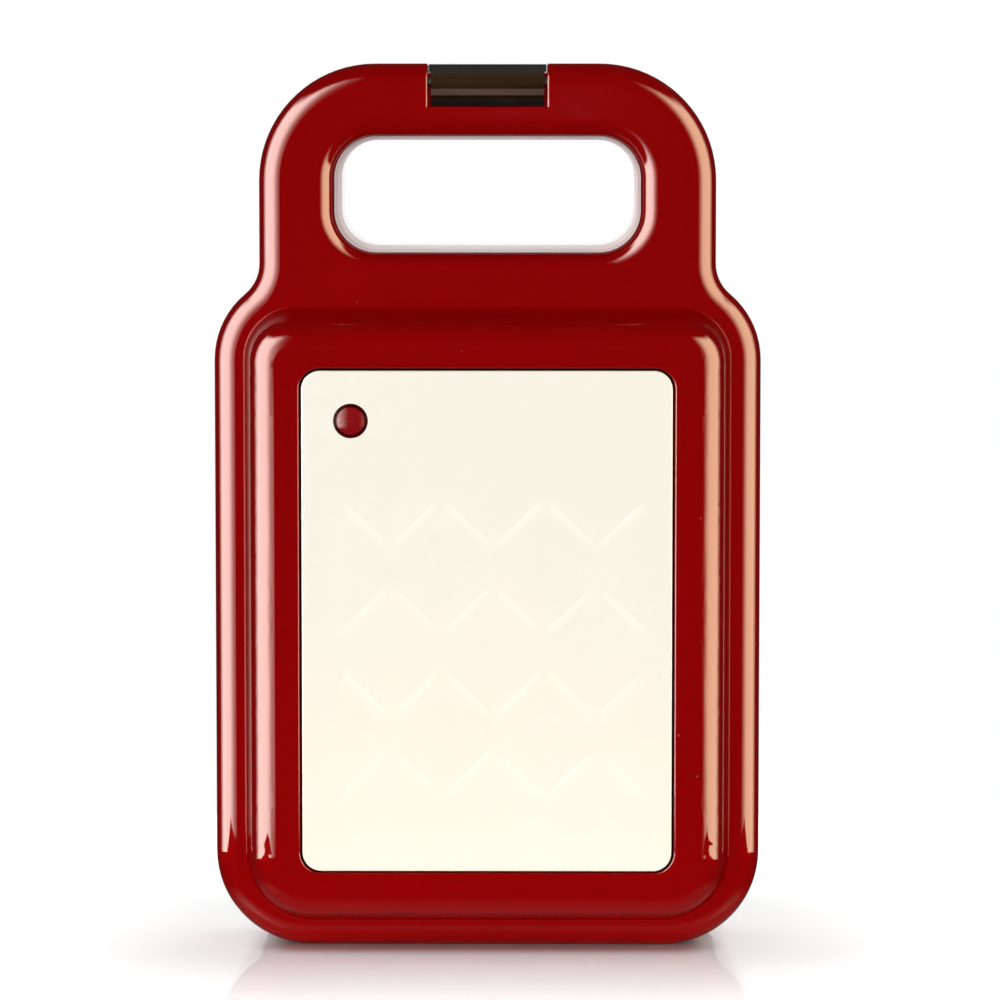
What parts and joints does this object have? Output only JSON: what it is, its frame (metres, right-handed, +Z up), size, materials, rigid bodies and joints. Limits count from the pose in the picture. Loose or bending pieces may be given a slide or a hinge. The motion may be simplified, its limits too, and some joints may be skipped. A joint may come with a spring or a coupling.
{
  "type": "multi snack maker",
  "caption": "Hinged countertop cooker with a loop handle: glossy red lid with a cream panel and a lamp, white base, latch, toasting plates and heaters, standing on its hinge end.",
  "frame": {"origin": "middle of the bounding box at the floor, on the plane where the two halves meet", "axes": "+Z up from the hinge end to the handle, -Y out of the lid's face, +X across to the right"},
  "size_m": [0.148, 0.084, 0.24],
  "materials": {
    "red_gloss": "high gloss red",
    "white_gloss": "gloss white",
    "cream_gloss": "satin gloss cream",
    "lens_red": "translucent red, gloss",
    "lamp_glass": "clear",
    "frame_black": "fine matte black",
    "nonstick": "dark non-stick coating",
    "tray_steel": "bright rolled sheet",
    "heater_sheath": "heat-darkened",
    "slide_grey": "satin grey",
    "spring_steel": "bright drawn steel",
    "screw_steel": "zinc plated",
    "latch_brown": "gloss dark brown",
    "foot_rubber": "matte",
    "thermostat_metal": "pressed",
    "fuse_metal": "bright",
    "terminal_ceramic": "unglazed",
    "terminal_brass": "bright",
    "gland_black": "fine matte black"
  },
  "bodies": {
    "base": {"base_shell": "white_gloss", "base_inner_frame": "frame_black", "lower_plate": "nonstick", "lower_tray": "tray_steel", "lower_heater": "heater_sheath", "lower_release_spring": "spring_steel", "base_screws": "screw_steel", "hinge_pins": "spring_steel", "latch_catch": "screw_steel", "catch_screws": "screw_steel", "rubber_feet": "foot_rubber", "thermostat": "thermostat_metal", "thermal_fuse": "fuse_metal", "terminal_block": "terminal_ceramic", "terminal_screws": "terminal_brass", "cord_gland": "gland_black"},
    "lid": {"lid_shell": "red_gloss", "lid_panel": "cream_gloss", "lamp_lens": "lens_red", "lamp_holder": "frame_black", "neon_lamp": "lamp_glass", "lid_inner_frame": "frame_black", "upper_plate": "nonstick", "upper_tray": "tray_steel", "upper_heater": "heater_sheath", "upper_release_spring": "spring_steel", "lid_screws": "screw_steel", "latch_pin": "spring_steel", "latch_spring": "spring_steel"},
    "latch": {"latch": "latch_brown"},
    "upper_release": {"upper_release_slide": "slide_grey"},
    "lower_release": {"lower_release_slide": "slide_grey"}
  },
  "joints": [
    {"name": "lid_hinge", "type": "hinge", "parent": "base", "child": "lid", "pos_m": [0, 0, 0.006], "axis": [1, 0, 0], "range_deg": [0, 105]},
    {"name": "latch_pivot", "type": "hinge", "parent": "lid", "child": "latch", "pos_m": [0, -0.022, 0.235], "axis": [1, 0, 0], "range_deg": [0, 20], "stiffness_Nm_per_rad": 0.02, "springref_deg": -17.19, "deforming": ["latch_spring"]},
    {"name": "upper_release", "type": "slide", "parent": "lid", "child": "upper_release", "axis": [0, 0, 1], "range_m": [0, 0.0035], "stiffness_N_per_m": 300, "springref_m": -0.002, "deforming": ["upper_release_spring"]},
    {"name": "lower_release", "type": "slide", "parent": "base", "child": "lower_release", "axis": [0, 0, 1], "range_m": [0, 0.0035], "stiffness_N_per_m": 300, "springref_m": -0.002, "deforming": ["lower_release_spring"]}
  ]
}
